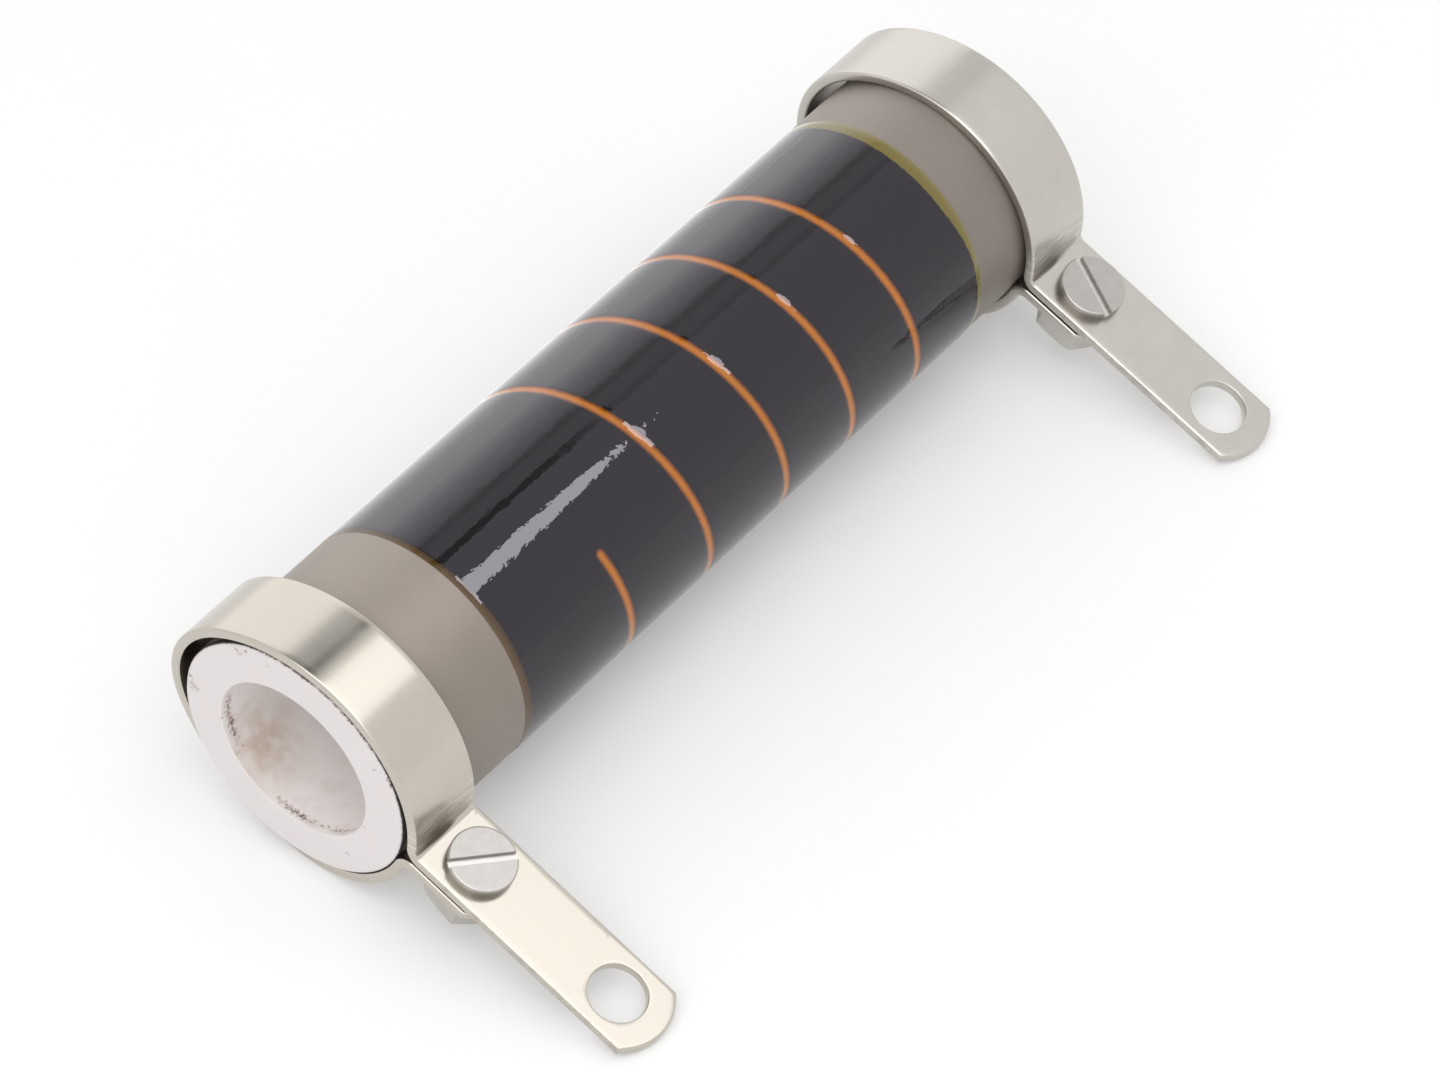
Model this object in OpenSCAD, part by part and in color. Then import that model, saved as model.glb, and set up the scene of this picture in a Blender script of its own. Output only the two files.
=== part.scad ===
// Tubular thick film power resistor with a clamp-band terminal at each end.
// Millimetres. X runs along the tube towards its front end, Y points to the lugs' side and Z is up.
// The origin is the middle of the tube's bore. The part lies on its two bands and its two lug tips.

/* [Ceramic tube] */
// Outer diameter of the tube
tube_od = 28.6; // [24:0.1:40]
// Diameter of the tube's bore
tube_bore = 19.05; // [8:0.05:22]
// Length of the tube
tube_length = 112; // [106:0.5:200]
// Chamfer on the rims of both end faces
tube_chamfer = 0.4; // [0.1:0.05:0.8]

/* [Films] */
// Thickness of the fired conductor film at each end
conductor_thickness = 0.03; // [0.02:0.01:0.2]
// Bare ceramic between an end face and its conductor film
conductor_rim = 0.9; // [0.8:0.1:3]
// Thickness of the resistor film
film_thickness = 0.04; // [0.02:0.01:0.2]
// Length over which the resistor film overlaps each conductor film
film_overlap = 2.5; // [0.5:0.1:6]
// Thickness of the varnish over the resistor film
coat_thickness = 0.08; // [0.05:0.01:0.4]
// Length by which the varnish reaches past the resistor film at each end
coat_lap = 0.9; // [0.3:0.1:2]
// Thickness of the varnish at its feathered rims
coat_rim = 0.02; // [0.01:0.01:0.04]
// Distance from the front face to the varnish
coat_front_margin = 19.2; // [12:0.1:26]
// Distance from the rear face to the varnish
coat_rear_margin = 16.4; // [12:0.1:22]

/* [Trim cut] */
// Width of the helical cut through the resistor film
trim_width = 1.2; // [0.3:0.05:2]
// Distance from the front face to the start of the cut
trim_start = 34.7; // [28:0.1:42]
// Angle at which the cut starts, measured up from the lug
trim_start_angle = 58; // [0:1:359]
// Advance of each of the first turns
trim_pitch_front = 12.9; // [8:0.1:16]
// Advance of each of the last turns
trim_pitch_rear = 11.3; // [8:0.1:14]
// Number of turns at the first advance
trim_turns_front = 2; // [1:0.25:2.5]
// Number of turns at the last advance
trim_turns_rear = 2.25; // [0.5:0.25:2.75]
// Depth of the dip that the varnish has over the cut
trim_dip = 0.03; // [0.01:0.01:0.04]

/* [Band terminals] */
// Width of the strap
strap_width = 9.2; // [6:0.1:11]
// Thickness of the strap
strap_thickness = 1.2; // [0.6:0.05:2]
// Rounding of the strap's long edges
strap_edge = 0.3; // [0.1:0.05:0.5]
// Clearance between the band and the conductor film where it is clamped
seat_clearance = 0.02; // [0.01:0.01:0.2]
// Gap between the band and the tube on the side away from the lug
loop_slack = 1.1; // [0.4:0.05:1.5]
// Angle, measured from the lug, at which the band leaves the tube
loop_leave_angle = 110; // [100:1:114]
// Excess of the loop's radius over its seat on the shoulders beside the slack
loop_shoulder = 3; // [2.8:0.1:6]
// Excess of the loop's radius over its seat on the side above the lug
loop_lug_side = 0.55; // [0.1:0.05:1]
// Height of the lug's top face above the tube's axis
lug_height = 2.5; // [1.5:0.1:5]
// Gap between the lug and the ear
ear_gap = 0.4; // [0.1:0.05:1]
// Inside radius of the bends into the lug and the ear
bend_radius = 0.8; // [0.4:0.1:2]
// Distance from the clamp screw to the lug's tip
lug_length = 24.8; // [18:0.1:60]
// Radius of the lug's rounded tip
lug_tip_radius = 6.4; // [5.6:0.1:12]
// Distance from the lug's tip to its hole
lug_hole_from_tip = 6; // [4.5:0.1:10]
// Diameter of the lug's hole
lug_hole = 6.35; // [3:0.05:7]
// Distance from the clamp screw to the ear's end
ear_length = 4.6; // [3:0.1:10]

/* [Screws and nuts] */
// Diameter of the screws' shanks
screw_d = 4; // [2.5:0.1:5]
// Clearance of a shank in the strap's holes, on the diameter
screw_hole_clearance = 0.4; // [0.1:0.05:1]
// Clearance of a shank in its nut, on the diameter
nut_clearance = 0.06; // [0.02:0.01:0.2]
// Length of shank that shows below the nut
screw_end = 0.8; // [0.2:0.1:2]
// Diameter of the screws' heads
head_d = 7.3; // [6:0.1:9]
// Height of the screws' heads
head_h = 1.3; // [1:0.05:3]
// Chamfer on the rim of the heads
head_chamfer = 0.2; // [0.05:0.05:0.4]
// Width of the heads' slots
slot_width = 0.9; // [0.5:0.05:1.5]
// Depth of the heads' slots
slot_depth = 0.7; // [0.3:0.05:0.9]
// Width of the nuts across their flats
nut_flats = 8; // [6.5:0.1:10]
// Thickness of the nuts
nut_thickness = 2.8; // [2:0.1:4]
// Clearance between the nut or the head and the bend beside it
fastener_clearance = 0.05; // [0.02:0.01:1]
// Turn of the front screw's slot from the lug's length
front_slot_turn = 55; // [0:1:179]
// Turn of the rear screw's slot from the lug's length
rear_slot_turn = 157; // [0:1:179]
// Turn of the front nut's corner from the lug's length
front_nut_turn = 0; // [0:1:59]
// Turn of the rear nut's corner from the lug's length
rear_nut_turn = 0; // [0:1:59]

/* [Hidden] */

$fn = 96;
// A cut reaches this far past the faces that it opens
past = 1;

// Radii of the layers on the tube
tube_r = tube_od / 2;
conductor_r = tube_r + conductor_thickness;
film_r = tube_r + film_thickness;
film_lap_r = conductor_r + film_thickness;
coat_r = film_lap_r + coat_thickness;
// Over the cut the varnish dips to this radius, and what fills the cut joins it a little deeper in its wall
coat_dip_r = coat_r - trim_dip;
coat_fill_r = (film_r + coat_dip_r) / 2;

// Places along the tube, from its middle
front_face = tube_length / 2;
coat_front = front_face - coat_front_margin;
coat_rear = coat_rear_margin - front_face;
film_front = coat_front - coat_lap;
film_rear = coat_rear + coat_lap;
conductor_front = film_front - film_overlap;
conductor_rear = film_rear + film_overlap;
band_place = front_face - strap_width / 2;

// The helical cut: its number of turns and of straight steps, and the radii that its cutter spans
trim_turns = trim_turns_front + trim_turns_rear;
trim_steps_per_turn = 30;
trim_steps = ceil(trim_turns * trim_steps_per_turn);
trim_inner_r = tube_r - past;
trim_outer_r = coat_r + past;
// Each end is a half round, as long as half the cut's width, drawn at these angles
trim_end_turns = trim_width / 2 / (PI * tube_od);
trim_end_angles = [20 : 17.5 : 72.5];
// Stations along the cut: the turns made so far and the share of the full width there
trim_stations = concat(
    [for (a = trim_end_angles) [trim_end_turns * (1 - cos(a)), sin(a)]],
    [for (i = [0 : trim_steps]) [trim_end_turns + i / trim_steps * (trim_turns - 2 * trim_end_turns), 1]],
    [for (a = trim_end_angles) [trim_turns - trim_end_turns * (1 - sin(a)), cos(a)]]);

// The loop, as inner radii and centres of arcs that meet smoothly at the leave angle
seat_r = conductor_r + seat_clearance;
leave = [cos(loop_leave_angle), sin(loop_leave_angle)];
lug_side_r = seat_r + loop_lug_side;
lug_side_centre = -loop_lug_side * leave;
shoulder_r = seat_r + loop_shoulder;
shoulder_centre = -loop_shoulder * leave;
// The slack arc bulges by loop_slack and touches both shoulder arcs from inside
slack_offset = loop_slack * (2 * loop_shoulder - loop_slack)
    / (2 * (loop_shoulder * (1 + leave[0]) - loop_slack));
slack_r = seat_r + loop_slack - slack_offset;
shoulder_end_angle = atan2(-shoulder_centre[1], -slack_offset - shoulder_centre[0]);

// The long edges' rounding leaves some of a thin strap's edge flat
edge_r = min(strap_edge, 0.45 * strap_thickness);
// How much a tucked stretch of strap is thinner on each side, and how far it reaches into its neighbours
tuck_inset = 0.002;
tuck_angle = 1;

// The lug and the ear, as heights in the strap's own frame, and the bends that lead into them
lug_under = lug_height - strap_thickness;
ear_top = lug_under - ear_gap;
ear_under = ear_top - strap_thickness;
lug_bend_centre = bend_centre(lug_side_centre, lug_side_r, lug_height + bend_radius);
lug_bend_angle = direction(lug_side_centre, lug_bend_centre);
ear_bend_centre = bend_centre([0, 0], seat_r, ear_under - bend_radius);
ear_bend_angle = direction([0, 0], ear_bend_centre);
nut_corner_r = nut_flats / sqrt(3);
screw_reach = fastener_clearance
    + max(lug_bend_centre[0] + head_d / 2, ear_bend_centre[0] + nut_corner_r);
lug_reach = screw_reach + lug_length;
lug_hole_reach = lug_reach - lug_hole_from_tip;
ear_reach = screw_reach + ear_length;

// Lying on its bands and lug tips, the part's lugs droop by this angle
droop = asin((seat_r + strap_thickness) / norm([lug_reach, lug_under])) + atan2(lug_under, lug_reach);

// Centre of a bend that runs out of an arc of the loop, at a given height
function bend_centre(arc_centre, arc_r, height) =
    let (apart = arc_r + strap_thickness + bend_radius, rise = height - arc_centre[1])
    [arc_centre[0] + sqrt(apart * apart - rise * rise), height];

function direction(from, to) = atan2(to[1] - from[1], to[0] - from[0]);

// How far the cut has gone along the tube after a number of turns, and a point of it at a station
function trim_advance(turns) = min(turns, trim_turns_front) * trim_pitch_front
    + max(turns - trim_turns_front, 0) * trim_pitch_rear;
function trim_point(station, r, side) =
    let (angle = trim_start_angle - 360 * station[0],
        place = front_face - trim_start - trim_advance(station[0]))
    [r * cos(angle), r * sin(angle), place + side * station[1] * trim_width / 2];

// Lays the part down from its working frame: X is the lug's length, Y its normal and Z the tube's axis
module lying() rotate([-droop, 0, 0]) rotate([90, 0, 90]) children();

// Solid of revolution about the tube's axis, from a profile of radius and place along the tube
module ring(profile) lying() rotate_extrude() polygon(profile);

module rounded_rectangle(size, r) {
    square([size[0] - 2 * r, size[1]], center = true);
    square([size[0], size[1] - 2 * r], center = true);
    for (x = [-1, 1], y = [-1, 1])
        translate([x * (size[0] / 2 - r), y * (size[1] / 2 - r)]) circle(r, $fn = 32);
}

// Bent stretch of strap, from its inner radius and the angles where it starts and ends. A tucked stretch
// is a hair thinner than its neighbours and reaches a little into both, so the strap becomes one solid.
module strap_arc(centre, r, from, to, tucked = false) {
    lap = tucked ? tuck_angle : 0;
    inset = tucked ? tuck_inset : 0;
    translate(centre) rotate(from - lap) rotate_extrude(angle = to - from + 2 * lap)
        translate([r + strap_thickness / 2, 0])
            rounded_rectangle([strap_thickness - 2 * inset, strap_width - 2 * inset], edge_r - inset);
}

// Straight stretch of strap along the lug's length, from its start, its end and its underside
module strap_run(from, to, under)
    translate([from, under + strap_thickness / 2, 0]) rotate([0, 90, 0]) linear_extrude(to - from)
        rounded_rectangle([strap_width, strap_thickness], edge_r);

// Loop round the tube: above the lug, over the top, round the slack side, underneath, then up to the ear
module strap_loop() {
    slack_start = shoulder_end_angle;
    slack_end = 360 - shoulder_end_angle;
    strap_arc(lug_side_centre, lug_side_r, lug_bend_angle, loop_leave_angle);
    strap_arc(shoulder_centre, shoulder_r, loop_leave_angle, slack_start, tucked = true);
    strap_arc([-slack_offset, 0], slack_r, slack_start, slack_end);
    mirror([0, 1, 0])
        strap_arc(shoulder_centre, shoulder_r, loop_leave_angle, slack_start, tucked = true);
    strap_arc([0, 0], seat_r, -loop_leave_angle, ear_bend_angle);
}

module lug() {
    strap_arc(lug_bend_centre, bend_radius, lug_bend_angle + 180, 270, tucked = true);
    intersection() {
        strap_run(lug_bend_centre[0], lug_reach, lug_under);
        rotate([90, 0, 0]) translate([0, 0, -lug_height - past])
            linear_extrude(strap_thickness + 2 * past) lug_outline();
    }
}

// Outline of the lug seen from above: straight sides and a tip that is one arc
module lug_outline() {
    tip_centre = lug_reach - lug_tip_radius;
    translate([0, -strap_width]) square([tip_centre, 2 * strap_width]);
    translate([tip_centre, 0]) circle(lug_tip_radius);
}

module ear() {
    strap_arc(ear_bend_centre, bend_radius, 90, ear_bend_angle + 180, tucked = true);
    strap_run(ear_bend_centre[0], ear_reach, ear_under);
}

// Hole square to the lug, through whatever lies between two heights
module strap_hole(reach, d, low, high)
    translate([reach, low, 0]) rotate([-90, 0, 0]) cylinder(h = high - low, d = d);

module band_terminal(place)
    lying() translate([0, 0, place]) difference() {
        union() {
            strap_loop();
            lug();
            ear();
        }
        strap_hole(lug_hole_reach, lug_hole, lug_under - past, lug_height + past);
        strap_hole(screw_reach, screw_d + screw_hole_clearance, ear_under - past, lug_height + past);
    }

// Puts a fastener on the screw's axis, its +Z along the lug's normal and its origin at a height
module on_screw_axis(place, height)
    lying() translate([screw_reach, height, place]) rotate([-90, 0, 0]) children();

// Slotted cheese-head screw, its origin under the head
module slotted_screw(slot_turn) {
    shank = lug_height - ear_under + nut_thickness + screw_end;
    rim = head_d / 2;
    difference() {
        rotate_extrude() polygon([[0, -shank], [screw_d / 2 - head_chamfer, -shank],
            [screw_d / 2, head_chamfer - shank], [screw_d / 2, 0], [rim, 0], [rim, head_h - head_chamfer],
            [rim - head_chamfer, head_h], [0, head_h]]);
        rotate(slot_turn) translate([-head_d, -slot_width / 2, head_h - slot_depth])
            cube([2 * head_d, slot_width, slot_depth + past]);
    }
}

// Hex nut, its origin on its top face, with its corners taken off by a 30 degree cone
module hex_nut(turn) {
    flat_r = nut_flats / 2;
    corner_drop = (nut_corner_r - flat_r) * tan(30);
    rotate(turn) difference() {
        intersection() {
            translate([0, 0, -nut_thickness]) cylinder(h = nut_thickness, r = nut_corner_r, $fn = 6);
            rotate_extrude() polygon([[0, -nut_thickness], [flat_r, -nut_thickness],
                [nut_corner_r, corner_drop - nut_thickness], [nut_corner_r, -corner_drop],
                [flat_r, 0], [0, 0]]);
        }
        translate([0, 0, -nut_thickness - past])
            cylinder(h = nut_thickness + 2 * past, d = screw_d + nut_clearance);
    }
}

// Cutter of the trim cut: a square bar wound into a helix, round where the tool went in and out
module trim_cutter() {
    points = [for (station = trim_stations, corner = [[trim_inner_r, -1], [trim_outer_r, -1],
        [trim_outer_r, 1], [trim_inner_r, 1]]) trim_point(station, corner[0], corner[1])];
    last = 4 * (len(trim_stations) - 1);
    walls = [for (i = [0 : 4 : last - 4], k = [0 : 3])
        [i + k, i + 4 + k, i + 4 + (k + 1) % 4, i + (k + 1) % 4]];
    ends = [[0, 1, 2, 3], [last + 3, last + 2, last + 1, last]];
    polyhedron(points, concat(walls, ends), convexity = 10);
}

// The sub-parts
module ceramic_tube()
    color([0.93, 0.91, 0.92]) ring([
        [tube_bore / 2, tube_chamfer - front_face], [tube_bore / 2 + tube_chamfer, -front_face],
        [tube_r - tube_chamfer, -front_face], [tube_r, tube_chamfer - front_face],
        [tube_r, front_face - tube_chamfer], [tube_r - tube_chamfer, front_face],
        [tube_bore / 2 + tube_chamfer, front_face], [tube_bore / 2, front_face - tube_chamfer]]);

module conductor_film(from, to)
    color([0.62, 0.6, 0.56]) ring([[tube_r, from], [conductor_r, from], [conductor_r, to], [tube_r, to]]);

module front_conductor_film() conductor_film(conductor_front, front_face - conductor_rim);

module rear_conductor_film() conductor_film(conductor_rim - front_face, conductor_rear);

// Resistor film: it climbs onto both conductor films and is cut through along the helix
module resistor_film()
    color([0.1, 0.1, 0.11]) difference() {
        ring([[conductor_r, film_rear], [film_lap_r, film_rear],
            [film_lap_r, conductor_rear + film_thickness], [film_r, conductor_rear + film_thickness],
            [film_r, conductor_front - film_thickness], [film_lap_r, conductor_front - film_thickness],
            [film_lap_r, film_front], [conductor_r, film_front],
            [conductor_r, conductor_front], [tube_r, conductor_front],
            [tube_r, conductor_rear], [conductor_r, conductor_rear]]);
        lying() trim_cutter();
    }

// Stretch of the trim cut between two radii
module trim_stretch(inner, outer)
    intersection() {
        ring([[inner, conductor_rear], [outer, conductor_rear],
            [outer, conductor_front], [inner, conductor_front]]);
        lying() trim_cutter();
    }

// Varnish: feathered at its rims, let down over the ends of the film, filling the cut and dipping over it
module overcoat()
    color([0.2, 0.17, 0.12]) {
        difference() {
            ring([[conductor_r, coat_rear], [conductor_r + coat_rim, coat_rear],
                [coat_r, film_rear], [coat_r, film_front],
                [conductor_r + coat_rim, coat_front], [conductor_r, coat_front],
                [conductor_r, film_front], [film_lap_r, film_front],
                [film_lap_r, conductor_front - film_thickness], [film_r, conductor_front - film_thickness],
                [film_r, conductor_rear + film_thickness], [film_lap_r, conductor_rear + film_thickness],
                [film_lap_r, film_rear], [conductor_r, film_rear]]);
            trim_stretch(coat_dip_r, coat_r + past / 2);
        }
        trim_stretch(tube_r, coat_fill_r);
    }

module front_band_terminal() color([0.8, 0.78, 0.72]) band_terminal(band_place);

module rear_band_terminal() color([0.72, 0.71, 0.68]) band_terminal(-band_place);

module front_screw()
    color([0.82, 0.79, 0.77]) on_screw_axis(band_place, lug_height) slotted_screw(front_slot_turn);

module rear_screw()
    color([0.76, 0.75, 0.74]) on_screw_axis(-band_place, lug_height) slotted_screw(rear_slot_turn);

module front_nut()
    color([0.66, 0.66, 0.65]) on_screw_axis(band_place, ear_under) hex_nut(front_nut_turn);

module rear_nut()
    color([0.66, 0.66, 0.65]) on_screw_axis(-band_place, ear_under) hex_nut(rear_nut_turn);

ceramic_tube();
front_conductor_film();
rear_conductor_film();
resistor_film();
overcoat();
front_band_terminal();
rear_band_terminal();
front_screw();
rear_screw();
front_nut();
rear_nut();
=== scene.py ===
# %% [markdown]
# # A tubular power resistor, dressed in Blender
# The real part is a white ceramic tube. Each end carries a fired conductor belt, and between the belts lies
# a black resistor film under amber varnish. A folded metal strap is clamped round each end by a screw and a
# nut. The CAD model is loaded first and gives the place and size of every piece, so what is made here only
# has to follow the same numbers with smoother surfaces and real finishes.

import math

import bmesh
import bpy
import numpy as np
from mathutils import Matrix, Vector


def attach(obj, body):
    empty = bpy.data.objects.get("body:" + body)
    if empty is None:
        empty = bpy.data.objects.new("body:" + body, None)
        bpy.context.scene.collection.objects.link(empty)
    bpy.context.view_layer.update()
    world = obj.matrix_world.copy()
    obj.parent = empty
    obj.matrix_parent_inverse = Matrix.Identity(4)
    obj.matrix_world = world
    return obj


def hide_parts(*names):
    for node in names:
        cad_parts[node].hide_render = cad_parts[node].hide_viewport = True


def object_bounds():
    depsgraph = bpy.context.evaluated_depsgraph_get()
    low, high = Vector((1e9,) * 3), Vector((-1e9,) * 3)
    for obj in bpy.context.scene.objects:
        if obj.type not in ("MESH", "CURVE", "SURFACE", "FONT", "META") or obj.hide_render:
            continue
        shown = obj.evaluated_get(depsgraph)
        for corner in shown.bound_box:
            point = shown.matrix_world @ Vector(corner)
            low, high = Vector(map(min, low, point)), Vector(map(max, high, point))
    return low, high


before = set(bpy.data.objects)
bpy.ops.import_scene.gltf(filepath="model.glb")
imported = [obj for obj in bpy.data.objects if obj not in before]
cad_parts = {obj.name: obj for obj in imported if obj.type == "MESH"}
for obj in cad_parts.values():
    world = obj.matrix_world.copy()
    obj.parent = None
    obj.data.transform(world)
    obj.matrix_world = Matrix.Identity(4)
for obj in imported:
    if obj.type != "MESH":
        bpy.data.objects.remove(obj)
cad_low, cad_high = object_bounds()
print("nodes:", ", ".join(sorted(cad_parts)))
print("CAD box in mm:", [round(1000 * (b - a), 2) for a, b in zip(cad_low, cad_high)])

# %% [markdown]
# ## Camera
# The photograph was taken with a long lens from above the front end, so the tube hardly narrows towards its
# far end. A camera could be aimed by hand, but its place here was solved from the photograph: the ellipses
# of the end face, the holes and the bands fix where the lens stood.

# %% Camera where the photograph was taken
MM = 0.001
camera_place = np.array([346.52, 286.00, 471.38]) * MM
camera_right = (-0.621470, 0.783436, -0.001703)
camera_up = (-0.576343, -0.455716, 0.678345)
camera_back = (0.530664, 0.422552, 0.734742)
sensor_width, focal_length = 36.0, 155.52
nearest, farthest = 0.01, 20.0


def placed(right, up, back, place):
    """Matrix of an object at a place in metres whose own x, y and z point right, up and back."""
    return Matrix([(*row, p) for row, p in zip(zip(right, up, back), place)] + [(0, 0, 0, 1)])


scene = bpy.context.scene
lens = bpy.data.cameras.new("camera")
lens.sensor_fit, lens.sensor_width, lens.lens = "HORIZONTAL", sensor_width, focal_length
lens.clip_start, lens.clip_end = nearest, farthest
camera = bpy.data.objects.new("camera", lens)
camera.matrix_world = placed(camera_right, camera_up, camera_back, camera_place)
scene.collection.objects.link(camera)
scene.camera = camera
print("camera is", round(float(np.linalg.norm(camera_place)), 3), "m from the tube's middle")

# %% [markdown]
# ## Shader maths
# A finish is a small calculation over the surface, and long chains of nodes are hard to read. One class wraps
# a socket, so that ordinary arithmetic on it adds the Math nodes. Any other node comes from one method, which
# takes the node's type, its settings and what its sockets receive.


# %% A socket that does arithmetic
class Wire:
    """One socket in a node tree. Sums, differences, products and quotients of wires add Math nodes."""

    def __init__(self, tree, socket=None):
        self.tree, self.socket = tree, socket

    def node(self, kind, settings=None, links=None, out=0):
        """Adds a node: its settings first, then a number, a colour or a wire for each named socket."""
        made = self.tree.nodes.new(kind)
        for key, value in (settings or {}).items():
            setattr(made, key, value)
        for key, value in (links or {}).items():
            if isinstance(value, Wire):
                self.tree.links.new(value.socket, made.inputs[key])
            else:
                made.inputs[key].default_value = value
        return Wire(self.tree, made.outputs[out] if made.outputs else None)

    def other(self, name):
        """Another output of the node that this wire comes from."""
        return Wire(self.tree, self.socket.node.outputs[name])

    def math(self, operation, *values):
        """A Math node on one value or two."""
        return self.node("ShaderNodeMath", {"operation": operation}, dict(enumerate(values)))

    def __add__(self, other):
        return self.math("ADD", self, other)

    def __sub__(self, other):
        return self.math("SUBTRACT", self, other)

    def __rsub__(self, other):
        return self.math("SUBTRACT", other, self)

    def __mul__(self, other):
        return self.math("MULTIPLY", self, other)

    def __truediv__(self, other):
        return self.math("DIVIDE", self, other)

    __radd__, __rmul__ = __add__, __mul__


scratch_tree = bpy.data.node_groups.new("scratch", "ShaderNodeTree")
total = 1 - 2 * Wire(scratch_tree).node("ShaderNodeValue")
print("1 - 2 * value is", len(scratch_tree.nodes), "nodes, the last a", total.socket.node.operation)


# %% Small steps that the finishes share
def stretched(vector, scale, turn=0.0):
    """A vector with each axis multiplied by its scale, then turned in its first two axes, in radians."""
    return vector.node("ShaderNodeMapping", {"vector_type": "POINT"},
                       {0: vector, 2: (0.0, 0.0, turn), 3: scale})


def surface_mm(wire, stretch=(1.0, 1.0, 1.0)):
    """Object coordinates in millimetres, each axis multiplied by its stretch."""
    return stretched(wire.node("ShaderNodeTexCoord", out="Object"), tuple(s / MM for s in stretch))


def parts(vector):
    """A vector taken apart: its X, from which other("Y") and other("Z") lead on."""
    return vector.node("ShaderNodeSeparateXYZ", None, {0: vector}, out="X")


def measured(operation, *vectors):
    """One number from vectors: the LENGTH of one, or the DISTANCE between two."""
    links = dict(enumerate(vectors))
    return vectors[0].node("ShaderNodeVectorMath", {"operation": operation}, links, out=1)


def stored(wire, name):
    """A number that is stored with each point of the mesh."""
    return wire.node("ShaderNodeAttribute", {"attribute_name": name}, out="Fac")


def step(value, low, high):
    """Smooth step: 0 where value is under low, 1 where it is over high, and an S curve between them."""
    return value.node("ShaderNodeMapRange", {"interpolation_type": "SMOOTHSTEP"},
                      {0: value, 1: low, 2: high, 3: 0.0, 4: 1.0})


def mixed(factor, one, other):
    """Colour one where factor is 0, the other where it is 1."""
    return factor.node("ShaderNodeMix", {"data_type": "RGBA"}, {0: factor, 6: one, 7: other}, out=2)


def noise(where, per_mm, detail=3.0, rough=0.55, twist=0.0):
    """Cloudy noise from 0 to 1 with about per_mm spots in a millimetre."""
    return where.node("ShaderNodeTexNoise", None, {
        "Vector": where, "Scale": per_mm, "Detail": detail, "Roughness": rough, "Distortion": twist})


def bumped(height, strength, depth):
    """Normals of a surface that rises by depth in mm where height is 1, softened by strength."""
    return height.node("ShaderNodeBump", None,
                       {"Strength": strength, "Distance": depth * MM, "Height": height})


def grey(value):
    """A colour with no tint."""
    return (value, value, value, 1.0)


def finish(name, make):
    """A material whose Principled sockets come from make, which gets a wire of the new tree."""
    material = bpy.data.materials.new(name)
    material.use_nodes = True
    tree = material.node_tree
    tree.nodes.clear()
    wire = Wire(tree)
    shader = wire.node("ShaderNodeBsdfPrincipled", None, make(wire))
    wire.node("ShaderNodeOutputMaterial", None, {"Surface": shader})
    print("finish", name, "has", len(tree.nodes), "nodes")
    return material


spots = step(noise(surface_mm(total), 1.0), 0.4, 0.6)
print("soft spots end in", spots.socket.node.name, "after", len(scratch_tree.nodes), "nodes in all")
bpy.data.node_groups.remove(scratch_tree)

# %% [markdown]
# ## Surfaces from grids
# Blender could turn and bevel these pieces with modifiers, but most of them are simply a formula of two
# numbers: how far along a profile, and how far round or along a path. numpy works out all the points at once,
# and one function joins such grids into a closed mesh.

# %% Grids into a mesh
join = np.concatenate


def stacked(*axes):
    """Points from their coordinates, each of them an array or a single number."""
    return np.stack(np.broadcast_arrays(*axes), -1)


def grid(points, round_rows=False, round_columns=False, **values):
    """One sheet of points in mm, shaped rows by columns by 3, which may close on itself either way."""
    return {"points": points, "round": (round_rows, round_columns), "values": values}


def corners_of(sheet, start):
    """Quads of a sheet: each point, the one in the next row, the one beyond it and the next in its row."""
    rows, columns = sheet["points"].shape[:2]
    number = start + np.arange(rows * columns).reshape(rows, columns)
    number = join([number, number[:1]]) if sheet["round"][0] else number
    number = join([number, number[:, :1]], 1) if sheet["round"][1] else number
    return np.stack([number[:-1, :-1], number[1:, :-1], number[1:, 1:], number[:-1, 1:]], -1).reshape(-1, 4)


merge_within = 2e-7


def piece(name, sheets, node, material, crease=35.0):
    """Joins sheets to a mesh: points merged where sheets meet, faces turned outwards, creases kept sharp."""
    counts = [sheet["points"].shape[0] * sheet["points"].shape[1] for sheet in sheets]
    starts = join([[0], np.cumsum(counts)])
    points = join([sheet["points"].reshape(-1, 3) for sheet in sheets]) * MM
    faces = join([corners_of(sheet, start) for sheet, start in zip(sheets, starts)])
    mesh = bpy.data.meshes.new(name)
    mesh.from_pydata(points.tolist(), [], faces.tolist())
    for key in sheets[0]["values"]:
        flat = join([np.reshape(sheet["values"][key], (count, -1))
                     for sheet, count in zip(sheets, counts)]).astype(np.float32)
        if key == "uv":
            around = np.zeros(len(mesh.loops), np.int32)
            mesh.loops.foreach_get("vertex_index", around)
            mesh.uv_layers.new(name="flat").data.foreach_set("uv", flat[around].ravel())
        else:
            mesh.attributes.new(key, "FLOAT", "POINT").data.foreach_set("value", flat.ravel())
    work = bmesh.new()
    work.from_mesh(mesh)
    bmesh.ops.remove_doubles(work, verts=work.verts, dist=merge_within)
    bmesh.ops.recalc_face_normals(work, faces=work.faces)
    open_edges = sum(not edge.is_manifold for edge in work.edges)
    work.to_mesh(mesh)
    work.free()
    mesh.shade_smooth()
    mesh.set_sharp_from_angle(angle=math.radians(crease))
    mesh.materials.append(material)
    made = bpy.data.objects.new(name, mesh)
    scene.collection.objects.link(made)
    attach(made, "root")
    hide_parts(node)
    print(name, "has", len(mesh.polygons), "faces and", open_edges, "open edges")
    return made


# %% [markdown]
# ## Ceramic tube
# The core is fired and sawn, not polished: its rims are soft, and small chips and dark specks of handling sit
# on the end face and round the mouth of the bore. The outline is a closed profile carried round the axis.
# Chips are little hollows in that surface, and the same numbers go into an attribute, so the finish can soil
# just them.

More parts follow.
